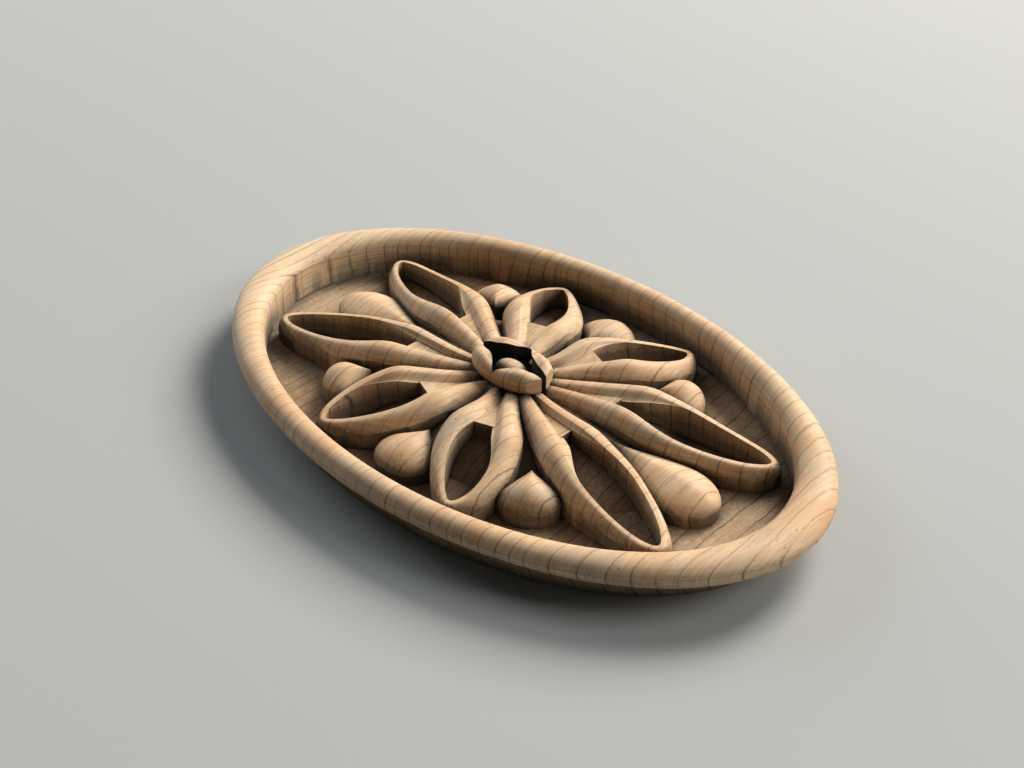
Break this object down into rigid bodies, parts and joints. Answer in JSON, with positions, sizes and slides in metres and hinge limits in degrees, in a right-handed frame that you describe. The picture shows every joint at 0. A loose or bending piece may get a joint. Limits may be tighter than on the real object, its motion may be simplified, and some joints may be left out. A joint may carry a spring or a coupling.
{
  "type": "carved wooden oval rosette",
  "caption": "Oval carved wooden rosette: open flower petals, buds and a pierced star button on a domed ground inside a rounded rim, for applying to furniture, doors or panels",
  "frame": {"origin": "centre of the flat back, the face that is glued to the panel behind", "axes": "+X along the long axis of the oval, +Y along the short axis, +Z out of the carved face"},
  "size_m": [0.16, 0.0992, 0.0156],
  "materials": {
    "carved_rosette": "bare sanded oak, open grain"
  },
  "bodies": {
    "root": {"carved_rosette": "carved_rosette"}
  },
  "joints": []
}
